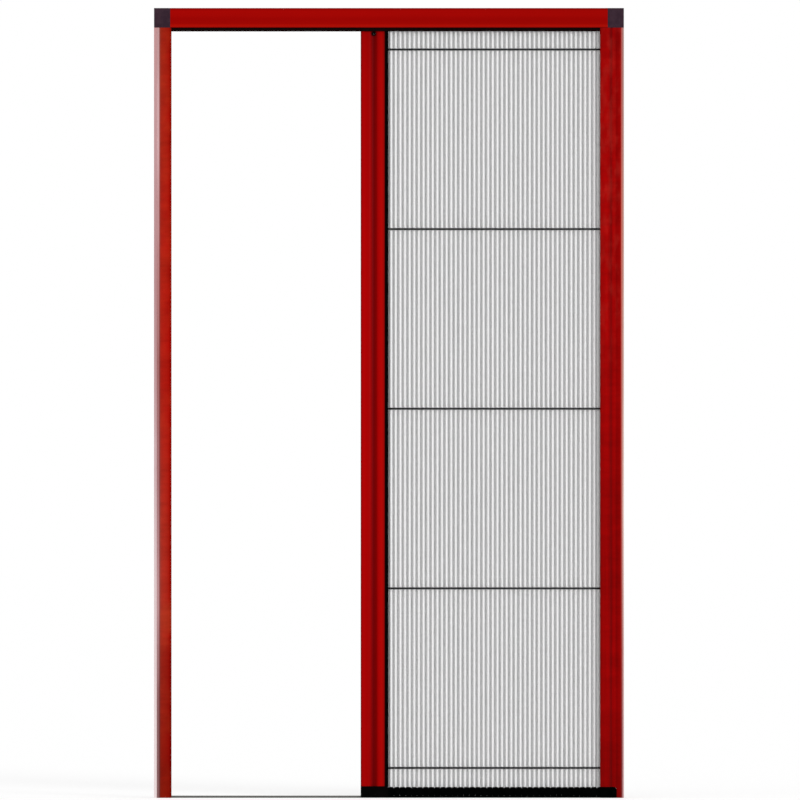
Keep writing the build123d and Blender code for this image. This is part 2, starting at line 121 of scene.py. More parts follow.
class Graph:
    """The node tree of one finish, read on the piece's own Object coordinates."""

    def __init__(self, name: str, roughness: float, specular: float) -> None:
        """Start a material with one shader.

        Args:
            name: Name of the finish.
            roughness: Roughness of the shader.
            specular: Specular level of the shader, where 0.5 is plain plastic.
        """
        self.material = bpy.data.materials.new(name)
        self.material.use_nodes = True
        self.tree = self.material.node_tree
        self.shader = next(n for n in self.tree.nodes if n.type == "BSDF_PRINCIPLED")
        self.set("Roughness", roughness)
        self.set("Specular IOR Level", specular)
        self.place = self.node("ShaderNodeTexCoord").outputs["Object"]

    def set(self, socket: str, value: Value | tuple) -> None:
        """Set or link one input of the shader."""
        self.feed(self.shader.inputs[socket], value)

    def feed(self, target: Socket, value: Value | tuple) -> None:
        """Link a socket to an input, or write a plain value on it.

        Args:
            target: The input.
            value: A socket, number or colour.
        """
        if isinstance(value, bpy.types.NodeSocket):
            self.tree.links.new(value, target)
        else:
            target.default_value = value

    def node(self, kind: str, **settings: object) -> bpy.types.Node:
        """Add one node with its settings.

        Args:
            kind: Type of the node.
            **settings: Properties of the node by name.

        Returns:
            The node.
        """
        made = self.tree.nodes.new(kind)
        for name, value in settings.items():
            setattr(made, name, value)
        return made

    def along(self, axis: Axis) -> Socket:
        """Give the Object coordinate along one axis.

        Args:
            axis: The axis.

        Returns:
            The place along it, in metres.
        """
        split = self.node("ShaderNodeSeparateXYZ")
        self.feed(split.inputs[0], self.place)
        return split.outputs[axis.value]

    def calc(self, operation: str, first: Value, second: Value = 0.0, clamp: bool = False) -> Socket:
        """Give the result of one Math node.

        Args:
            operation: What the node does.
            first: Its first value.
            second: Its second value, where it takes one.
            clamp: True to keep the result between 0 and 1.

        Returns:
            The result.
        """
        made = self.node("ShaderNodeMath", operation=operation, use_clamp=clamp)
        self.feed(made.inputs[0], first)
        self.feed(made.inputs[1], second)
        return made.outputs[0]

    def distance(self, first: Value, second: Value) -> Socket:
        """Give the length of an arrow from its two parts, square to each other."""
        squares = [self.calc("MULTIPLY", part, part) for part in (first, second)]
        return self.calc("SQRT", self.calc("ADD", squares[0], squares[1]))

    def between(self, source: Value, low: float, high: float) -> Socket:
        """Map a value to 0 at low and 1 at high, clamped and eased.

        Args:
            source: The value to read.
            low: Where the result is 0.
            high: Where the result is 1.

        Returns:
            The result.
        """
        made = self.node("ShaderNodeMapRange", interpolation_type="SMOOTHSTEP")
        self.feed(made.inputs["Value"], source)
        made.inputs["From Min"].default_value = low
        made.inputs["From Max"].default_value = high
        return made.outputs["Result"]

    def ramp(self, source: Value, stops: Stops) -> Socket:
        """Colour a value by stops.

        Args:
            source: The value to read.
            stops: Pairs of a value and its paint, from the lowest value to the highest.

        Returns:
            The colour socket.
        """
        low, high = stops[0][0], stops[-1][0]
        span = self.node("ShaderNodeMapRange")
        self.feed(span.inputs["Value"], source)
        span.inputs["From Min"].default_value = low
        span.inputs["From Max"].default_value = high
        made = self.node("ShaderNodeValToRGB")
        self.feed(made.inputs[0], span.outputs["Result"])
        elements = made.color_ramp.elements
        while len(elements) < len(stops):
            elements.new(0.5)
        for element, (at, paint) in zip(elements, stops):
            element.position = (at - low) / (high - low)
            element.color = paint.linear()
        return made.outputs["Color"]

    def noise(
        self, scale: float, detail: float = 3.0, stretch: tuple[float, float, float] = (1, 1, 1)
    ) -> Socket:
        """Give noise on the Object coordinates.

        Args:
            scale: Cells per metre.
            detail: Octaves.
            stretch: Factors on the three coordinates, below 1 for long grain.

        Returns:
            The noise value, from 0 to 1.
        """
        mapping = self.node("ShaderNodeMapping")
        self.feed(mapping.inputs["Vector"], self.place)
        mapping.inputs["Scale"].default_value = stretch
        made = self.node("ShaderNodeTexNoise")
        self.feed(made.inputs["Vector"], mapping.outputs[0])
        made.inputs["Scale"].default_value = scale
        made.inputs["Detail"].default_value = detail
        return made.outputs["Fac"]

    def mix(
        self, factor: Value, one: Socket | tuple, other: Socket | tuple, kind: str = "MIX"
    ) -> Socket:
        """Mix two colours by a factor.

        Args:
            factor: Share of the other colour.
            one: The colour at a factor of 0.
            other: The colour that comes in with the factor.
            kind: How the two meet.

        Returns:
            The colour socket.
        """
        made = self.node("ShaderNodeMix", data_type="RGBA", blend_type=kind)
        self.feed(made.inputs["Factor"], factor)
        self.feed(made.inputs[6], one)
        self.feed(made.inputs[7], other)
        return made.outputs[2]

    def tinted(self, colour: Socket, tint: Socket | tuple) -> Socket:
        """Multiply a colour by a tint."""
        return self.mix(1.0, colour, tint, "MULTIPLY")

    def bump(self, height: Value, depth: float, strength: float = 1.0) -> None:
        """Press a height pattern into the surface.

        Args:
            height: The pattern.
            depth: Its depth, in metres.
            strength: Share of the depth that shows.
        """
        made = self.node("ShaderNodeBump")
        made.inputs["Strength"].default_value = strength
        made.inputs["Distance"].default_value = depth
        self.feed(made.inputs["Height"], height)
        self.set("Normal", made.outputs["Normal"])


@dataclass(frozen=True)
class Lacquer:
    """Red lacquer, toned across the section from its edge and down the length; both tones hold
    painted highlights and painted shade.
    """

    name: str
    across: Axis
    # section: tone across the profile, with painted highlights and painted shade; shade: painted
    # shade down the length
    section: Stops
    shade: Stops
    shade_along: Axis = Axis.Z
    edge: float = 0.0
    blotch: Paint = WHITE
    mottle: float = 0.0
    mottle_low: float = 0.0
    mottle_high: float = 1.0
    mottle_grain: float = 24.0
    patch_low: float = 0.42
    patch_high: float = 0.68
    figure: float = 0.06
    figure_grain: float = 20.0
    cross: float = 0.04
    cross_grain: float = 110.0
    streak: float = 0.14
    streak_grain: float = 60.0
    streak_stretch: float = 0.03
    fine: float = 0.08
    fine_grain: float = 900.0
    fine_depth: float = 0.03 * MM
    # painted shade in the recess round a screw
    screw_shade: tuple[float, float] | None = None
    screw_shade_radius: float = 9 * MM
    screw_shade_paint: Paint = Paint(8, 2, 2)
    roughness: float = 0.45
    specular: float = 0.014

    def material(self) -> bpy.types.Material:
        """Build the lacquer.

        Returns:
            The material.
        """
        graph = Graph(self.name, self.roughness, self.specular)
        # the section ramp paints highlights on lobes and edges and shade in grooves
        section = tuple((self.edge + at, paint) for at, paint in self.section)
        colour = graph.ramp(graph.along(self.across), section)
        if self.mottle:
            cloud = graph.noise(self.mottle_grain, 4.0, (1, 1, 0.5))
            patch = graph.between(cloud, self.patch_low, self.patch_high)
            fade = graph.between(graph.along(Axis.Z), self.mottle_low, self.mottle_high)
            amount = graph.calc("MULTIPLY", graph.calc("MULTIPLY", patch, fade), self.mottle)
            colour = graph.mix(amount, colour, self.blotch.linear())
        # the length ramp multiplies in painted shade along the piece, and for the latch jamb a shift
        # of hue
        colour = graph.tinted(colour, graph.ramp(graph.along(self.shade_along), self.shade))
        grain = graph.noise(self.fine_grain, 2.0)
        colour = graph.tinted(colour, self.figured(graph, grain))
        # painted shade in the recess round the screw
        if self.screw_shade:
            colour = graph.mix(self.screw_shaded(graph), colour, self.screw_shade_paint.linear())
        graph.set("Base Color", colour)
        graph.bump(grain, self.fine_depth)
        return graph.material

    def figured(self, graph: Graph, grain: Socket) -> Socket:
        """Give the lacquer's own unevenness: clouds, cross streaks, long streaks and grain.

        Args:
            graph: The finish.
            grain: Its fine grain.

        Returns:
            A tint of about 1.
        """
        upright = self.shade_along is Axis.Z
        long = (1, 1, self.streak_stretch) if upright else (self.streak_stretch, 1, 1)
        parts = (
            (graph.noise(self.figure_grain, 4.0, (0.5, 0.5, 1)), self.figure),
            (graph.noise(self.cross_grain, 3.0, (0.25, 0.25, 1)), self.cross),
            (graph.noise(self.streak_grain, 3.0, long), self.streak),
            (grain, self.fine),
        )
        total: Value = 1 - sum(share for _, share in parts) / 2
        for noise, share in parts:
            total = graph.calc("ADD", total, graph.calc("MULTIPLY", noise, share))
        return total

    def screw_shaded(self, graph: Graph) -> Socket:
        """Paint shade into the dark recess round a screw.

        Args:
            graph: The finish.

        Returns:
            1 at the screw, and 0 past the radius of the painted shade.
        """
        axes = (self.across, self.shade_along)
        off = [graph.calc("SUBTRACT", graph.along(a), at) for a, at in zip(axes, self.screw_shade)]
        away = graph.distance(off[0], off[1])
        clear = graph.between(away, self.screw_shade_radius / 2, self.screw_shade_radius)
        return graph.calc("SUBTRACT", 1.0, clear)


@dataclass(frozen=True)
class Plastic:
    """Moulded plastic with a fine sparked texture."""

    name: str
    paint: Paint
    worn: Paint
    roughness: float = 0.55
    specular: float = 0.12
    cloud_grain: float = 60.0
    cloud_low: float = 0.35
    cloud_high: float = 0.7
    spark_grain: float = 1600.0
    spark_depth: float = 0.04 * MM

    def material(self) -> bpy.types.Material:
        """Build the plastic.

        Returns:
            The material.
        """
        graph = Graph(self.name, self.roughness, self.specular)
        cloud = graph.between(
            graph.noise(self.cloud_grain, 4.0), self.cloud_low, self.cloud_high
        )
        graph.set("Base Color", graph.mix(cloud, self.paint.linear(), self.worn.linear()))
        graph.bump(graph.noise(self.spark_grain, 2.0), self.spark_depth)
        return graph.material


@dataclass(frozen=True)
class TrimWithPaintedLight:
    """Cover strip in pale rose, two tones each side of its groove, dark beside the red; the pale
    rose is painted reflection on red, fading to painted shade towards the foot.
    """

    name: str
    groove_x: float
    rim_x: float
    rim_width: float
    left: Stops
    right: Stops
    rim: Paint
    groove_half: float = 1.5 * MM
    wander: float = 0.3
    wander_grain: float = 14.0
    fine_grain: float = 1200.0
    fine_depth: float = 0.03 * MM
    roughness: float = 0.5
    specular: float = 0.1

    def material(self) -> bpy.types.Material:
        """Build the cover strip's finish.

        Returns:
            The material.
        """
        graph = Graph(self.name, self.roughness, self.specular)
        streak = graph.noise(self.wander_grain, 3.0, (1, 1, 0.5))
        shift = graph.calc("MULTIPLY", graph.calc("SUBTRACT", streak, 0.5), self.wander)
        height = graph.calc("ADD", graph.along(Axis.Z), shift)
        # tones up the strip: paler towards the top as painted reflection, darker towards the foot as
        # painted shade
        tones = [graph.ramp(height, stops) for stops in (self.left, self.right)]
        x = graph.along(Axis.X)
        side = graph.between(
            x, self.groove_x - self.groove_half, self.groove_x + self.groove_half
        )
        colour = graph.mix(side, tones[0], tones[1])
        from_rim = graph.calc("ABSOLUTE", graph.calc("SUBTRACT", x, self.rim_x))
        near = graph.calc("SUBTRACT", 1.0, graph.between(from_rim, 0.0, self.rim_width))
        rimmed = graph.tinted(colour, self.rim.linear())
        graph.set("Base Color", graph.mix(near, colour, rimmed))
        graph.bump(graph.noise(self.fine_grain, 2.0), self.fine_depth)
        return graph.material


@dataclass(frozen=True)
class BrushPile:
    """Dense black pile with upright fibres."""

    name: str
    fibre_across: Axis
    tones: Stops = ((0.0, Paint(2, 1, 1)), (1.0, Paint(30, 16, 16)))
    fibre_grain: float = 1500.0
    fibre_stretch: float = 0.04
    fibre_depth: float = 0.4 * MM
    roughness: float = 0.95

    def material(self) -> bpy.types.Material:
        """Build the pile.

        Returns:
            The material.
        """
        graph = Graph(self.name, self.roughness, 0.0)
        hangs = self.fibre_across is Axis.X
        stretch = (1, 1, self.fibre_stretch) if hangs else (1, self.fibre_stretch, 1)
        fibre = graph.noise(self.fibre_grain, 2.0, stretch)
        graph.set("Base Color", graph.ramp(fibre, self.tones))
        graph.bump(fibre, self.fibre_depth)
        return graph.material


@dataclass(frozen=True)
class Metal:
    """Painted or blacked metal with long grain along X."""

    name: str
    paint: Paint
    dark: Paint
    roughness: float
    specular: float = 0.3
    grain: float = 700.0
    grain_stretch: float = 0.02
    grain_depth: float = 0.04 * MM

    def material(self) -> bpy.types.Material:
        """Build the metal.

        Returns:
            The material.
        """
        graph = Graph(self.name, self.roughness, self.specular)
        grain = graph.noise(self.grain, 3.0, (self.grain_stretch, 1, 1))
        graph.set("Base Color", graph.mix(grain, self.dark.linear(), self.paint.linear()))
        graph.bump(grain, self.grain_depth)
        return graph.material


@dataclass(frozen=True)
class ScreenMesh:
    """Fine polyester mesh, woven and punched on the piece's own flat cloth coordinates, its facets
    painted in a lit and a shaded tone.
    """

    facet_length: float
    hole_inset: float
    first_cord: float
    cord_step: float
    name: str = "screen_mesh_weave"
    thread_pitch: float = 1.6 * MM
    thread_edge: float = -0.2
    opening_edge: float = 0.6
    weave_depth: float = 0.1 * MM
    weave_strength: float = 0.4
    # light and shaded: painted lit and painted shaded facet tones; fold_tone: painted light on the
    # shaded facets near their front fold
    light: Paint = grey(253)
    shaded: Paint = Paint(183, 183, 184)
    fold_tone: Paint = Paint(220, 220, 221)
    fold_reach: float = 0.6
    opening: float = 0.46
    hole_radius: float = 3.4 * MM
    hole_rim: float = 0.8 * MM
    rim: Paint = Paint(90, 90, 92)
    roughness: float = 0.8
    specular: float = 0.05

    def weave(self, graph: Graph, u: Socket, v: Socket) -> Socket:
        """Cross the threads of the weave.

        Args:
            graph: The finish.
            u: Place along the cloth, in metres.
            v: Place up the cloth, in metres.

        Returns:
            1 in the middle of each opening between the threads, and -1 on them.
        """
        waves = []
        for part in (u, v):
            turn = graph.calc("MULTIPLY", part, 2 * math.pi / self.thread_pitch)
            waves.append(graph.calc("COSINE", turn))
        return graph.calc("MINIMUM", waves[0], waves[1])

    def from_fold(self, graph: Graph, u: Socket) -> Socket:
        """Measure how far back a point lies on its facet.

        Args:
            graph: The finish.
            u: Place along the cloth, in metres.

        Returns:
            The share of the facet between the point and its front fold.
        """
        turns = graph.calc("DIVIDE", u, self.facet_length)
        signed = graph.calc("SUBTRACT", graph.calc("FLOORED_MODULO", turns, 2.0), 1.0)
        return graph.calc("ABSOLUTE", signed)

    def from_hole(self, graph: Graph, depth: Socket, v: Socket) -> Socket:
        """Measure how far a point is from the nearest cord hole.

        Args:
            graph: The finish.
            depth: Share of the facet between the point and its front fold.
            v: Place up the cloth, in metres.

        Returns:
            The distance on the cloth to the middle of the hole, in metres.
        """
        across = graph.calc("MULTIPLY", depth, self.facet_length)
        across = graph.calc("SUBTRACT", across, self.hole_inset)
        rise = graph.calc("ADD", v, self.cord_step / 2 - self.first_cord)
        rise = graph.calc("FLOORED_MODULO", rise, self.cord_step)
        rise = graph.calc("SUBTRACT", rise, self.cord_step / 2)
        return graph.distance(across, rise)

    def material(self) -> bpy.types.Material:
        """Build the mesh.

        Returns:
            The material.
        """
        graph = Graph(self.name, self.roughness, self.specular)
        split = graph.node("ShaderNodeSeparateXYZ")
        graph.feed(split.inputs[0], graph.node("ShaderNodeUVMap", uv_map="cloth").outputs["UV"])
        u, v = split.outputs["X"], split.outputs["Y"]
        gap = self.weave(graph, u, v)
        clear = graph.between(gap, self.thread_edge, self.opening_edge)
        open_share = graph.calc("MULTIPLY", clear, self.opening * 2)
        depth = self.from_fold(graph, u)
        away = self.from_hole(graph, depth, v)
        cloth = graph.calc("SUBTRACT", 1.0, open_share, True)
        kept = graph.calc("GREATER_THAN", away, self.hole_radius)
        rim = graph.calc("LESS_THAN", away, self.hole_radius + self.hole_rim)
        solid = graph.calc("MAXIMUM", cloth, rim)
        graph.set("Alpha", graph.calc("MULTIPLY", solid, kept))
        # the facet attribute picks the painted lit or painted shaded tone; shaded facets are painted
        # lighter near the front fold and darker deep in the pleat
        side = graph.node("ShaderNodeAttribute", attribute_name="facet").outputs["Fac"]
        deep = graph.between(depth, 0.0, self.fold_reach)
        painted_shade_tone = graph.mix(deep, self.fold_tone.linear(), self.shaded.linear())
        tone = graph.mix(side, self.light.linear(), painted_shade_tone)
        graph.set("Base Color", graph.mix(rim, tone, self.rim.linear()))
        graph.bump(gap, self.weave_depth, self.weave_strength)
        return graph.material


@dataclass(frozen=True)
class BraidedCord:
    """Thin braided cord with a diagonal lay."""

    name: str = "guide_cord_braid"
    dark: Paint = Paint(22, 22, 23)
    pale: Paint = Paint(58, 58, 60)
    lay: float = 2.4 * MM
    slant: float = 1.4
    strand_low: float = -0.4
    strand_high: float = 0.9
    strand_depth: float = 0.2 * MM
    roughness: float = 0.8
    specular: float = 0.05

    def material(self) -> bpy.types.Material:
        """Build the braid.

        Returns:
            The material.
        """
        graph = Graph(self.name, self.roughness, self.specular)
        turn = 2 * math.pi / self.lay
        lines = []
        for sign in (1, -1):
            rise = graph.calc("MULTIPLY", graph.along(Axis.Z), sign * self.slant)
            run = graph.calc("ADD", graph.along(Axis.X), rise)
            lines.append(graph.calc("COSINE", graph.calc("MULTIPLY", run, turn)))
        strand = graph.calc("MAXIMUM", lines[0], lines[1])
        braid = graph.between(strand, self.strand_low, self.strand_high)
        graph.set("Base Color", graph.mix(braid, self.dark.linear(), self.pale.linear()))
        graph.bump(braid, self.strand_depth)
        return graph.material


def finished(mesh: bmesh.types.BMesh, name: str, material: bpy.types.Material) -> bpy.types.Object:
    """Turn a bmesh into a named object in the scene.

    Args:
        mesh: The shape, in the door's frame. It is freed.
        name: Name of the piece.
        material: Its finish.

    Returns:
        The new object, at the origin.
    """
    data = bpy.data.meshes.new(name)
    mesh.to_mesh(data)
    mesh.free()
    data.materials.append(material)
    piece = bpy.data.objects.new(name, data)
    bpy.context.scene.collection.objects.link(piece)
    return piece


def paint_nodes(material: bpy.types.Material, *nodes: str) -> None:
    """Give CAD nodes a finish in place of their plain one.

    Args:
        material: The finish.
        *nodes: Names of the nodes.
    """
    for name in nodes:
        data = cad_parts[name].data
        data.materials.clear()
        data.materials.append(material)
        log.info("painted %s with %s", name, material.name)


def matt_black(name: str) -> bpy.types.Material:
    """Build the matt black plastic of the chain and its foot."""
    return Plastic(name, grey(1), grey(3), roughness=0.85, specular=0.005).material()


def node_shape(node: str) -> bmesh.types.BMesh:
    """Copy the mesh of a CAD node.

    Args:
        node: Name of the node.

    Returns:
        Its loose triangles.
    """
    shape = bmesh.new()
    shape.from_mesh(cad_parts[node].data)
    return shape


def merge(shape: bmesh.types.BMesh) -> None:
    """Join loose triangles, then dissolve the edges between flat neighbours."""
    bmesh.ops.remove_doubles(shape, verts=shape.verts, dist=MERGE)
    bmesh.ops.dissolve_limit(shape, angle_limit=FLAT_ANGLE, verts=shape.verts, edges=shape.edges)


def placed(point: Vector, angle: float, axis: Axis) -> Matrix:
    """Give the move that turns a shape about one axis and takes it to a point."""
    return Matrix.Translation(point) @ Matrix.Rotation(angle, 4, axis.value)


def add_cone(
    shape: bmesh.types.BMesh, sides: int, radii: tuple[float, float], length: float, place: Matrix
) -> None:
    """Add a capped cone or rod to a shape.

    Args:
        shape: The shape.
        sides: Sides of the cone.
        radii: Radius at its root and at its tip, in metres.
        length: Its length, in metres.
        place: The move from the origin, where it stands along Z.
    """
    bmesh.ops.create_cone(
        shape,
        cap_ends=True,
        segments=sides,
        radius1=radii[0],
        radius2=radii[1],
        depth=length,
        matrix=place,
    )


def bevel_edges(
    shape: bmesh.types.BMesh, edges: list[bmesh.types.BMEdge], width: float, segments: int = 2
) -> None:
    """Bevel edges of a shape.

    Args:
        shape: The shape.
        edges: The edges.
        width: Width of the bevel, in metres.
        segments: Faces across the bevel.
    """
    bmesh.ops.bevel(
        shape,
        geom=edges,
        offset=width,
        affect="EDGES",
        segments=segments,
        profile=0.5,
        material=-1,
    )


def round_edges(piece: bpy.types.Object, width: float) -> None:
    """Round the sharp edges of a finished piece.

    Args:
        piece: The piece.
        width: Width of the rounded edges, in metres.
    """
    edge = piece.modifiers.new("edge", "BEVEL")
    edge.width = width
    edge.segments = 2
    edge.limit_method = "ANGLE"
    edge.angle_limit = SHARP_ANGLE


def softened(
    node: str, body: str, width: float, material: bpy.types.Material
) -> None:
    """Replace a CAD node by a copy of it with its sharp edges rounded.

    Args:
        node: The CAD node, which also names the piece.
        body: The body that it rides on.
        width: Width of the rounded edges, in metres.
        material: Its finish.
    """
    shape = node_shape(node)
    merge(shape)
    piece = finished(shape, f"{node}_dressed", material)
    round_edges(piece, width)
    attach(piece, body)
    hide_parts(node)
    log.info("softened %s", node)


@dataclass
class Stretch:
    """The run between the pull bar and the anchor strip, which gathers evenly as the bar slides."""

    bar_x: float
    anchor_x: float

    def share(self, x: float) -> float:
        """Give how much of the run lies before x, from 0 at the bar to 1 at the anchor."""
        return (x - self.bar_x) / (self.anchor_x - self.bar_x)

    def spread(self, piece: bpy.types.Object, x0: float, x1: float) -> None:
        """Bake the move of a piece into its mesh.

        Args:
            piece: A finished mesh with no parent.
            x0: Where the piece starts; not used.
            x1: Where it ends; not used.
        """
        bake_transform(piece)


@dataclass
class PleatedScreen:
    """The folded mesh sheet, made in strips."""

    run: Stretch
    foot_z: float
    head_z: float
    half_depth: float = 8.5 * MM
    facets: int = 98
    fold_width: float = 0.35 * MM
    strips: tuple[int, ...] = (1, 1, 2, 4, 6, 8, 10, 11, 12, 11, 10, 8, 6, 4, 2, 1, 1)

    def weave(self) -> ScreenMesh:
        """Give the mesh finish, punched where this screen's cords pass.

        Returns:
            The finish.
        """
        low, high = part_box(CORD_NODES[0])
        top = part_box(CORD_NODES[-1])[0]
        from_fold = self.half_depth + (low.y + high.y) / 2
        return ScreenMesh(
            facet_length=self.facet_length(),
            hole_inset=from_fold / (2 * self.half_depth) * self.facet_length(),
            first_cord=(low.z + high.z) / 2,
            cord_step=(top.z - low.z) / (len(CORD_NODES) - 1),
        )

    def facet_width(self) -> float:
        """Give the reach of one facet along X."""
        return (self.run.anchor_x - self.run.bar_x) / self.facets

    def facet_length(self) -> float:
        """Give the length of cloth in one facet."""
        return math.hypot(self.facet_width(), 2 * self.half_depth)

    def strip_mesh(self, first: int, count: int) -> bmesh.types.BMesh:
        """Fold one strip out of a flat grid.

        Args:
            first: Number of the strip's first facet, from the bar.
            count: Facets in the strip.

        Returns:
            The folded strip with its cloth coordinates.
        """
        step = self.facet_width()
        shape = bmesh.new()
        bmesh.ops.create_grid(shape, x_segments=count, y_segments=1, size=0.5)
        height = self.head_z - self.foot_z
        for vertex in shape.verts:
            column = first + round((vertex.co.x + 0.5) * count)
            rise = vertex.co.y + 0.5
            fold = self.half_depth if column % 2 == 0 else -self.half_depth
            vertex.co = (self.run.bar_x + column * step, fold, self.foot_z + rise * height)
        folds = [edge for edge in shape.edges if not edge.is_boundary]
        if folds:
            bevel_edges(shape, folds, self.fold_width)
        self.lay_cloth(shape)
        return shape

    def lay_cloth(self, shape: bmesh.types.BMesh) -> None:
        """Write where each point lies on the flat cloth, and which way each facet turns, which picks
        between the painted lit and painted shaded tones.

        Args:
            shape: The folded strip.
        """
        step = self.facet_width()
        cloth = shape.loops.layers.uv.new("cloth")
        facet = shape.faces.layers.float.new("facet")
        for face in shape.faces:
            column = math.floor((face.calc_center_median().x - self.run.bar_x) / step)
            # facets turned away from the key light take the painted shaded tone; the first facet
            # takes the painted lit tone
            face[facet] = 1 - column % 2 if column else 0
            for loop in face.loops:
                at = (loop.vert.co.x - self.run.bar_x) / step * self.facet_length()
                loop[cloth].uv = (at, loop.vert.co.z)

    def build(self) -> None:
        """Make and place every strip."""
        material = self.weave().material()
        first = 0
        for number, count in enumerate(self.strips, 1):
            shape = self.strip_mesh(first, count)
            piece = finished(shape, f"screen_strip_{number}", material)
            x0 = self.run.bar_x + first * self.facet_width()
            self.run.spread(piece, x0, x0 + count * self.facet_width())
            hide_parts("pleated_screen")
            count * self.facet_length()
            first += count
        log.info("folded %d facets in %d strips", first, len(self.strips))


@dataclass
class GuideCords:
    """The taut cords through the pleats."""

    run: Stretch
    radius: float = 2.6 * MM
    sides: int = 12

    def build(self) -> None:
        """Make one rod for each cord node."""
        material = BraidedCord().material()
        for node in CORD_NODES:
            low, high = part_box(node)
            shape = bmesh.new()
            place = placed((low + high) / 2, QUARTER_TURN, Axis.Y)
            add_cone(shape, self.sides, (self.radius, self.radius), high.x - low.x, place)
            piece = finished(shape, f"{node}_braid", material)
            piece.data.shade_smooth()
            self.run.spread(piece, self.run.bar_x, self.run.anchor_x)
            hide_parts(node)
            log.info("laid %s", node)


@dataclass
class BottomChain:
    """The row of links that guides the foot of the screen."""

    run: Stretch
    links: int = 39
    edge: float = 0.7 * MM
    slack: float = 0.2 * MM
    pivot_radius: float = 2.6 * MM
    pivot_proud: float = 0.3 * MM
    pivot_drop: float = 8.0 * MM
    pivot_sides: int = 12
    strips: tuple[int, ...] = (1, 1, 2, 3, 4, 5, 7, 5, 4, 3, 2, 1, 1)

    def add_pivots(self, shape: bmesh.types.BMesh, x: float) -> None:
        """Set the two round heads of one pivot pin into the faces of the chain.

        Args:
            shape: The run of links.
            x: Place of the pin along X.
        """
        low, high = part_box("bottom_chain")
        radii = (self.pivot_radius, self.pivot_radius)
        for side in Side:
            face_y = low.y if side is Side.FRONT else high.y
            place = placed(Vector((x, face_y, high.z - self.pivot_drop)), QUARTER_TURN, Axis.X)
            add_cone(shape, self.pivot_sides, radii, 2 * self.pivot_proud, place)

    def cut_run(self, x0: float, x1: float) -> bmesh.types.BMesh:
        """Take the links between two places out of the chain's node.

        Args:
            x0: Where the run starts.
            x1: Where it ends.

        Returns:
            Its links.
        """
        shape = node_shape("bottom_chain")
        start, end = x0 - self.slack, x1 + self.slack
        spare = [face for face in shape.faces if not start < face.calc_center_median().x < end]
        bmesh.ops.delete(shape, geom=spare, context="FACES")
        merge(shape)
        return shape

    def build(self) -> None:
        """Make and place every run of links."""
        material = matt_black("chain_black")
        pitch = (self.run.anchor_x - self.run.bar_x) / self.links
        first = 0
        for number, count in enumerate(self.strips, 1):
            x0 = self.run.bar_x + first * pitch
            x1 = x0 + count * pitch
            shape = self.cut_run(x0, x1)
            for link in range(count):
                self.add_pivots(shape, x0 + (link + 0.5) * pitch)
            piece = finished(shape, f"chain_run_{number}", material)
            round_edges(piece, self.edge)
            self.run.spread(piece, x0, x1)
            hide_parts("bottom_chain")
            first += count
        log.info("linked %d links in %d runs", first, len(self.strips))


@dataclass
class BrushStrip:
    """A brush pile: a dense core with tufts standing out of it."""

    node: str
    along: Axis
    point: Vector
    pitch: float = 1.6 * MM
    reach: float = 0.0
    rows: int = 3
    group: int = 8
    core_share: float = 0.93
    core_breadth: float = 0.9
    core_edge: float = 0.4 * MM
    root_share: float = 0.5
    radius: float = 0.75 * MM
    tip: float = 0.35 * MM
    tuft_sides: int = 3
    ragged: float = 0.3 * MM
    ragged_wave: tuple[float, float] = (5.1, 1.7)
    lean: float = 0.06
    lean_wave: tuple[float, float] = (7.3, 2.9)

    def turn(self) -> Matrix:
        """Give the turn from the strip's own axes to the frame's.

        Returns:
            The turn, with the run, the breadth and root to tip as its columns.
        """
        run = Vector((1, 0, 0)) if self.along is Axis.X else Vector((0, 0, 1))
        breadth = self.point.cross(run)
        return Matrix((run, breadth, self.point)).transposed().to_4x4()

    def sizes(self) -> tuple[Vector, Vector]:
        """Measure the strip in its own axes.

        Returns:
            Its root corner, and its run, breadth and reach.
        """
        low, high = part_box(self.node)
        back = self.turn().inverted()
        first, second = back @ low, back @ high
        start = Vector(min(a, b) for a, b in zip(first, second))
        end = Vector(max(a, b) for a, b in zip(first, second))
        return start, end - start + Vector((0, 0, self.reach))

    @staticmethod
    def uneven(wave: tuple[float, float], number: int, row: int) -> float:
        """Give one tuft's own value from -1 to 1, which is the same each time."""
        return math.sin(wave[0] * number + wave[1] * row)

    def add_tufts(self, shape: bmesh.types.BMesh, size: Vector) -> None:
        """Stand one group of tufts at the start and repeat it along the run.

        Args:
            shape: The empty strip.
            size: Its run, breadth and reach.
        """
        groups = max(1, round(size.x / (self.pitch * self.group)))
        pitch = size.x / (groups * self.group)
        root = size.z * self.root_share
        for row in range(self.rows):
            y = size.y * (row + 0.5) / self.rows
            for number in range(self.group):
                cut = self.ragged * (1 + self.uneven(self.ragged_wave, number, row))
                length = size.z - root - cut
                middle = Vector(((number + 0.5) * pitch, y, root + length / 2))
                lean = self.lean * self.uneven(self.lean_wave, number, row)
                radii = (self.radius, self.tip)
                add_cone(shape, self.tuft_sides, radii, length, placed(middle, lean, Axis.Y))
        tufts = shape.verts[:] + shape.edges[:] + shape.faces[:]
        for step in range(1, groups):
            made = bmesh.ops.duplicate(shape, geom=tufts)
            verts = [part for part in made["geom"] if isinstance(part, bmesh.types.BMVert)]
            bmesh.ops.translate(shape, verts=verts, vec=(step * self.group * pitch, 0, 0))

    def build(self, material: bpy.types.Material) -> None:
        """Make the strip and place it.

        Args:
            material: Its finish.
        """
        start, size = self.sizes()
        shape = bmesh.new()
        self.add_tufts(shape, size)
        core = Vector((size.x, size.y * self.core_breadth, size.z * self.core_share))
        middle = Vector((size.x / 2, size.y / 2, core.z / 2))
        made = bmesh.ops.create_cube(
            shape, size=1, matrix=Matrix.Translation(middle) @ Matrix.Diagonal((*core, 1))
        )
        edges = {edge for vert in made["verts"] for edge in vert.link_edges}
        bevel_edges(shape, list(edges), self.core_edge)
        bmesh.ops.transform(
            shape, matrix=self.turn() @ Matrix.Translation(start), verts=shape.verts
        )
        piece = finished(shape, f"{self.node}_bristles", material)
        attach(piece, FRAME_BODY)
        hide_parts(self.node)
        log.info("brushed %s with %d faces", self.node, len(piece.data.polygons))


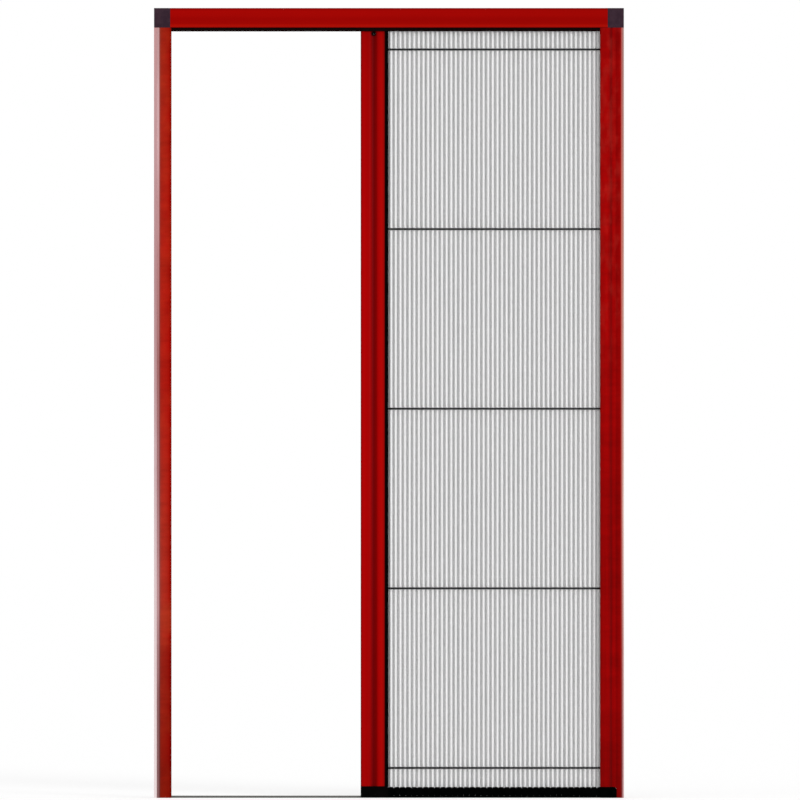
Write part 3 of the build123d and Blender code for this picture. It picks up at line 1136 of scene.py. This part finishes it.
@dataclass
class DoorFrame:
    """The jambs, header, caps, trims, piles and strips of the fixed frame."""

    rail_edge: float = 0.4 * MM
    foot_edge: float = 0.6 * MM
    cap_edge: float = 0.8 * MM
    groove_shift: float = 0.5 * MM
    latch_rim: float = 5 * MM
    storage_rim: float = 3 * MM
    header_reach: float = 2.4 * MM
    header_core: float = 0.96
    upright_pitch: float = 3.2 * MM

    def header_lacquer(self) -> Lacquer:
        """Tone the header from the painted shade on its top edge to the painted highlight on the
        bead at its foot.

        Returns:
            The finish.
        """
        return Lacquer(
            "header_lacquer",
            Axis.Z,
            # painted shade on the top edge and a painted highlight on the foot bead
            (
                (0.0, Paint(118, 2, 1)),
                (0.003, Paint(168, 14, 5)),
                (0.0075, Paint(166, 9, 1)),
                (0.0105, Paint(153, 4, 0)),
                (0.022, Paint(150, 2, 0)),
                (0.034, Paint(158, 4, 1)),
                (0.044, Paint(159, 4, 1)),
                (0.0495, Paint(140, 3, 1)),
                (0.052, Paint(130, 3, 1)),
            ),
            edge=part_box("header_rail")[0].z,
            shade_along=Axis.X,
            shade=(
                (0.0, grey(255)),
                (0.6, grey(253)),
                (1.25, grey(249)),
            ),
        )

    def latch_lacquer(self) -> Lacquer:
        """Tone the latch jamb, mottled with orange, with painted shade on its inner edge and painted
        shade darker towards the foot.

        Returns:
            The finish.
        """
        return Lacquer(
            "latch_jamb_lacquer",
            Axis.X,
            # painted highlight on the face and painted shade on the inner edge
            (
                (0.0, Paint(150, 60, 52)),
                (0.0165, Paint(157, 56, 46)),
                (0.021, Paint(165, 45, 33)),
                (0.027, Paint(169, 42, 28)),
                (0.034, Paint(166, 35, 23)),
                (0.0385, Paint(164, 26, 12)),
                (0.0415, Paint(148, 13, 3)),
                (0.0455, Paint(128, 7, 2)),
            ),
            # painted shade, darker towards the foot and at the top, with the hue shifting by height
            shade=(
                (0.0, Paint(194, 140, 120)),
                (0.154, Paint(208, 156, 138)),
                (0.37, Paint(226, 196, 188)),
                (0.5, Paint(250, 246, 244)),
                (0.61, grey(255)),
                (0.86, Paint(255, 228, 224)),
                (1.10, Paint(253, 172, 164)),
                (1.35, Paint(255, 176, 168)),
                (1.67, Paint(251, 190, 178)),
                (1.91, Paint(247, 214, 188)),
                (2.05, Paint(232, 198, 172)),
            ),
            blotch=Paint(180, 66, 36),
            mottle=0.34,
            mottle_low=-0.6,
            mottle_high=0.2,
            figure=0.55,
            cross=0.34,
        )

    def storage_lacquer(self) -> Lacquer:
        """Tone the storage jamb, mottled towards its top, with painted shade in its groove and on
        its edges and painted shade towards its foot and its top.

        Returns:
            The finish.
        """
        return Lacquer(
            "storage_jamb_lacquer",
            Axis.X,
            # painted shade on the edges and the groove's left wall, a painted highlight on its right
            # wall
            (
                (0.0, Paint(124, 6, 6)),
                (0.004, Paint(146, 3, 3)),
                (0.017, Paint(158, 3, 3)),
                (0.0235, Paint(150, 3, 3)),
                (0.0265, Paint(126, 1, 2)),
                (0.0305, Paint(116, 1, 2)),
                (0.0335, Paint(168, 5, 6)),
                (0.0385, Paint(160, 4, 4)),
                (0.0425, Paint(134, 1, 2)),
                (0.050, Paint(142, 2, 2)),
                (0.056, Paint(146, 8, 5)),
            ),
            edge=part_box("storage_jamb")[0].x,
            # painted shade, darker towards the foot and at the top
            shade=(
                (0.0, grey(208)),
                (0.12, grey(220)),
                (0.3, grey(248)),
                (0.55, grey(232)),
                (1.0, grey(246)),
                (1.3, grey(255)),
                (1.95, grey(255)),
                (2.05, grey(232)),
            ),
            blotch=Paint(176, 46, 38),
            mottle=0.22,
            mottle_low=0.95,
            mottle_high=1.5,
            mottle_grain=44.0,
            figure=0.58,
            cross=0.32,
            streak=0.4,
            streak_grain=150.0,
        )

    def paint_trims(self) -> None:
        """Paint the cover strips of both jambs, with painted reflection towards the top and painted
        shade towards the foot.
        """
        latch_low, latch_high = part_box("latch_edge_trim_front")
        latch = TrimWithPaintedLight(
            "latch_trim_painted_light",
            groove_x=(latch_low.x + latch_high.x) / 2 - self.groove_shift,
            rim_x=latch_high.x,
            rim_width=self.latch_rim,
            # left and right: pale at the top as painted reflection, darker at the foot as painted
            # shade
            left=(
                (0.0, Paint(232, 216, 216)),
                (0.3, Paint(226, 206, 206)),
                (0.7, Paint(214, 190, 192)),
                (1.06, Paint(190, 152, 154)),
                (1.35, Paint(180, 136, 138)),
                (1.75, Paint(190, 148, 150)),
                (2.05, Paint(190, 142, 142)),
            ),
            right=(
                (0.0, Paint(130, 88, 88)),
                (0.27, Paint(142, 96, 97)),
                (0.55, Paint(188, 144, 146)),
                (0.85, Paint(166, 116, 118)),
                (1.15, Paint(163, 105, 104)),
                (1.4, Paint(184, 130, 130)),
                (1.78, Paint(214, 174, 176)),
                (2.05, Paint(190, 148, 148)),
            ),
            rim=Paint(176, 122, 118),
        )
        storage_low, storage_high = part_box("storage_edge_trim_front")
        storage = TrimWithPaintedLight(
            "storage_trim_painted_light",
            groove_x=(storage_low.x + storage_high.x) / 2,
            rim_x=storage_low.x,
            rim_width=self.storage_rim,
            left=(
                (0.0, Paint(120, 34, 34)),
                (0.12, Paint(130, 40, 42)),
                (0.4, Paint(160, 60, 54)),
                (0.8, Paint(184, 98, 90)),
                (1.1, Paint(188, 104, 94)),
                (1.5, Paint(198, 112, 98)),
                (2.05, Paint(178, 92, 86)),
            ),
            right=(
                (0.0, Paint(196, 150, 150)),
                (0.4, Paint(198, 150, 146)),
                (0.8, Paint(224, 190, 182)),
                (1.1, Paint(204, 164, 154)),
                (1.5, Paint(192, 140, 130)),
                (2.05, Paint(174, 132, 126)),
            ),
            rim=Paint(232, 180, 176),
        )
        paint_nodes(latch.material(), "latch_edge_trim_front", "latch_edge_trim_back")
        paint_nodes(storage.material(), "storage_edge_trim_front", "storage_edge_trim_back")

    def brush(self) -> None:
        """Stand bristles on the six piles."""
        down, back, front = Vector((0, 0, -1)), Vector((0, 1, 0)), Vector((0, -1, 0))
        header = BrushPile("header_pile_black", Axis.X).material()
        upright = BrushPile("upright_pile_black", Axis.Z).material()
        for name in ("header_pile_front", "header_pile_back"):
            strip = BrushStrip(
                name, Axis.X, down, reach=self.header_reach, core_share=self.header_core
            )
            strip.build(header)
        for name in ("latch_pile", "storage_pile"):
            for side, point in (("front", back), ("back", front)):
                strip = BrushStrip(f"{name}_{side}", Axis.Z, point, pitch=self.upright_pitch)
                strip.build(upright)

    def paint_fittings(self) -> None:
        """Paint the inner strips, magnet and floor strip, and dress the foot and caps."""
        channel = Plastic("inner_channel_grey", Paint(150, 148, 148), Paint(132, 130, 130))
        paint_nodes(channel.material(), "latch_insert", "storage_insert")
        magnet = Plastic(
            "magnet_strip_rubber",
            Paint(58, 52, 50),
            Paint(44, 40, 38),
            roughness=0.8,
            specular=0.1,
        )
        paint_nodes(magnet.material(), "latch_magnet_strip", "bar_magnet_strip")
        strip = Metal("floor_strip_grey", Paint(98, 97, 94), Paint(82, 81, 78), roughness=0.5)
        softened("floor_strip", FRAME_BODY, self.rail_edge, strip.material())
        black = matt_black("foot_black")
        softened("chain_housing", FRAME_BODY, self.foot_edge, black)
        paint_nodes(black, "screen_anchor_strip")
        plum = Plastic(
            "corner_cap_plum", Paint(46, 29, 40), Paint(56, 38, 48), roughness=0.5, specular=0.05
        ).material()
        for cap in ("corner_cap_left", "corner_cap_right"):
            softened(cap, FRAME_BODY, self.cap_edge, plum)

    def build(self) -> None:
        """Dress the whole frame."""
        for node, lacquer in (
            ("header_rail", self.header_lacquer()),
            ("latch_jamb", self.latch_lacquer()),
            ("storage_jamb", self.storage_lacquer()),
        ):
            softened(node, FRAME_BODY, self.rail_edge, lacquer.material())
        self.paint_trims()
        self.brush()
        self.paint_fittings()


@dataclass
class PullBar:
    """The sliding bar with its strips, shoes and screws."""

    thin_edge: float = 0.4 * MM
    foot_shoe_edge: float = 0.8 * MM
    top_shoe_edge: float = 0.6 * MM
    screw_sides: int = 24
    rim_edge: float = 0.6 * MM
    rim_segments: int = 3
    rim_inset: float = 0.4 * MM
    socket_radius: float = 1.3 * MM
    socket_depth: float = 0.9 * MM

    def lacquer(self) -> Lacquer:
        """Tone the bar with painted highlights on its two lobes, painted shade in its groove and
        painted shade towards its top and foot.

        Returns:
            The finish.
        """
        screw_low, screw_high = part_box("bar_groove_screw_front")
        return Lacquer(
            "pull_bar_lacquer",
            Axis.X,
            # painted highlights on the two lobes and painted shade in the groove
            (
                (0.0, Paint(120, 6, 6)),
                (0.004, Paint(160, 2, 3)),
                (0.009, Paint(172, 2, 3)),
                (0.015, Paint(166, 1, 1)),
                (0.0235, Paint(162, 4, 5)),
                (0.0275, Paint(144, 5, 6)),
                (0.0315, Paint(120, 4, 7)),
                (0.0345, Paint(112, 1, 5)),
                (0.0375, Paint(126, 3, 4)),
                (0.0415, Paint(146, 3, 3)),
                (0.047, Paint(160, 1, 2)),
                (0.0555, Paint(175, 6, 4)),
                (0.060, Paint(158, 6, 4)),
                (0.064, Paint(112, 4, 3)),
            ),
            edge=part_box("pull_bar_profile")[0].x,
            # painted shade towards the top and the foot
            shade=(
                (0.03, grey(240)),
                (0.35, grey(247)),
                (0.9, grey(255)),
                (1.5, grey(252)),
                (1.9, grey(244)),
                (2.05, grey(228)),
            ),
            # painted shade in the recess round the groove screw
            screw_shade=((screw_low.x + screw_high.x) / 2, (screw_low.z + screw_high.z) / 2),
        )

    def sink_socket(self, shape: bmesh.types.BMesh) -> None:
        """Sink a six-sided socket into the top of a screw.

        Args:
            shape: The screw, along Z.
        """
        top = max(shape.faces, key=lambda face: face.calc_center_median().z)
        bmesh.ops.inset_individual(shape, faces=[top], thickness=self.rim_inset)
        centre = top.calc_center_median()
        half_side = math.pi / 6
        for vertex in top.verts:
            arm = vertex.co - centre
            turn = math.atan2(arm.y, arm.x) % (2 * half_side) - half_side
            arm.length = self.socket_radius * math.cos(half_side) / math.cos(turn)
            vertex.co = centre + arm
        sunk = bmesh.ops.extrude_discrete_faces(shape, faces=[top])["faces"][0]
        bmesh.ops.translate(shape, verts=sunk.verts, vec=(0, 0, -self.socket_depth))

    def add_screw(self, side: Side, material: bpy.types.Material) -> None:
        """Make one socket screw in the groove.

        Args:
            side: The face of the bar that it is on.
            material: Its finish.
        """
        node = f"bar_groove_screw_{side.name.lower()}"
        low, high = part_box(node)
        radius = (high.x - low.x) / 2
        shape = bmesh.new()
        add_cone(shape, self.screw_sides, (radius, radius), high.y - low.y, Matrix())
        top = max(shape.faces, key=lambda face: face.calc_center_median().z)
        bevel_edges(shape, list(top.edges), self.rim_edge, self.rim_segments)
        self.sink_socket(shape)
        place = placed((low + high) / 2, -side.value * QUARTER_TURN, Axis.X)
        bmesh.ops.transform(shape, matrix=place, verts=shape.verts)
        piece = finished(shape, f"{node}_socket", material)
        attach(piece, BAR_BODY)
        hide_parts(node)
        log.info("turned %s", node)

    def build(self) -> None:
        """Dress the bar."""
        softened(
            "pull_bar_profile", BAR_BODY, self.thin_edge, self.lacquer().material()
        )
        black = Plastic(
            "bar_black", Paint(3, 2, 2), Paint(6, 4, 4), roughness=0.6, specular=0.01
        ).material()
        for node, width in (
            ("bar_carrier_strip", self.thin_edge),
            ("bar_bottom_shoe", self.foot_shoe_edge),
            ("bar_top_shoe", self.top_shoe_edge),
        ):
            softened(node, BAR_BODY, width, black)
        eyelet = Plastic("eyelet_grey", Paint(120, 120, 122), Paint(100, 100, 102))
        paint_nodes(eyelet.material(), "bar_cord_eyelets")
        screw = Metal(
            "screw_black", Paint(20, 10, 10), Paint(10, 5, 5), roughness=0.75, specular=0.04
        ).material()
        for side in Side:
            self.add_screw(side, screw)


@dataclass
class Studio:
    """Camera, floor, world and lamp."""

    pixels: int = 800
    pixel: float = 2.66 * MM
    jamb_column: float = 154.0
    floor_row: float = 797.9
    front_y: float = -22 * MM
    lens: float = 800.0
    sensor: float = 36.0
    clip_end: float = 300.0
    ambient: float = 0.62
    key_strength: float = 1.92
    key_angle: float = math.radians(20)
    key_toward: tuple[float, float, float] = (-0.50, 0.84, -0.16)
    floor_paint: Paint = grey(203)
    floor_half: float = 60.0
    floor_glow: float = 0.57

    def build(self) -> None:
        """Set up the view, the floor and the light."""
        self.place_camera()
        self.lay_floor()
        self.light_world()
        self.hang_key()
        bpy.context.scene.view_settings.view_transform = "Standard"

    def place_camera(self) -> None:
        """Put a long lens square on to the door, as the photograph is taken."""
        centre_x = (self.pixels / 2 - self.jamb_column) * self.pixel
        centre_z = (self.floor_row - self.pixels / 2) * self.pixel
        distance = self.pixels * self.pixel * self.lens / self.sensor
        data = bpy.data.cameras.new("camera")
        data.lens = self.lens
        data.sensor_width = self.sensor
        data.clip_end = self.clip_end
        camera = bpy.data.objects.new("camera", data)
        camera.location = (centre_x, self.front_y - distance, centre_z)
        camera.rotation_euler = (QUARTER_TURN, 0, 0)
        bpy.context.scene.collection.objects.link(camera)
        bpy.context.scene.camera = camera

    def lay_floor(self) -> None:
        """Lay a pale floor that stays white to the camera and keeps the door's shadow."""
        graph = Graph("studio_floor", 1.0, 0.0)
        graph.set("Base Color", self.floor_paint.linear())
        path = graph.node("ShaderNodeLightPath")
        seen = graph.calc("MAXIMUM", path.outputs["Is Camera Ray"], path.outputs["Is Glossy Ray"])
        seen = graph.calc("MAXIMUM", seen, path.outputs["Is Transmission Ray"])
        graph.set("Emission Color", (1, 1, 1, 1))
        graph.set("Emission Strength", graph.calc("MULTIPLY", seen, self.floor_glow))
        shape = bmesh.new()
        bmesh.ops.create_grid(shape, x_segments=1, y_segments=1, size=self.floor_half)
        floor = finished(shape, "studio_floor", graph.material)

    def light_world(self) -> None:
        """Light the door from all round, with a white backdrop to the camera."""
        world = bpy.data.worlds.new("studio_world")
        world.use_nodes = True
        tree = world.node_tree
        sky = tree.nodes["Background"]
        path = tree.nodes.new("ShaderNodeLightPath")
        seen = path.outputs["Is Camera Ray"]
        for kind in ("Is Glossy Ray", "Is Transmission Ray"):
            either = tree.nodes.new("ShaderNodeMath")
            either.operation = "MAXIMUM"
            tree.links.new(seen, either.inputs[0])
            tree.links.new(path.outputs[kind], either.inputs[1])
            seen = either.outputs[0]
        level = tree.nodes.new("ShaderNodeMapRange")
        tree.links.new(seen, level.inputs["Value"])
        level.inputs["To Min"].default_value = self.ambient
        level.inputs["To Max"].default_value = 1.0
        sky.inputs["Color"].default_value = (1, 1, 1, 1)
        tree.links.new(level.outputs["Result"], sky.inputs["Strength"])
        bpy.context.scene.world = world

    def hang_key(self) -> None:
        """Hang one soft lamp on the storage side, in front and a little above."""
        data = bpy.data.lights.new("key", "SUN")
        data.energy = self.key_strength
        data.angle = self.key_angle
        lamp = bpy.data.objects.new("key", data)
        turn = Vector(self.key_toward).to_track_quat("-Z", "Y")
        lamp.rotation_euler = turn.to_euler()
        bpy.context.scene.collection.objects.link(lamp)


def main() -> None:
    """Dress the door and set the studio."""
    logging.basicConfig(level=logging.INFO, format="%(name)s: %(message)s")
    screen_low, screen_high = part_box("pleated_screen")
    run = Stretch(screen_low.x, screen_high.x)
    Studio().build()
    DoorFrame().build()
    PullBar().build()
    chain_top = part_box("bottom_chain")[1].z
    PleatedScreen(run, chain_top + CHAIN_GAP, screen_high.z).build()
    GuideCords(run).build()
    BottomChain(run).build()


if __name__ == "__main__":
    main()
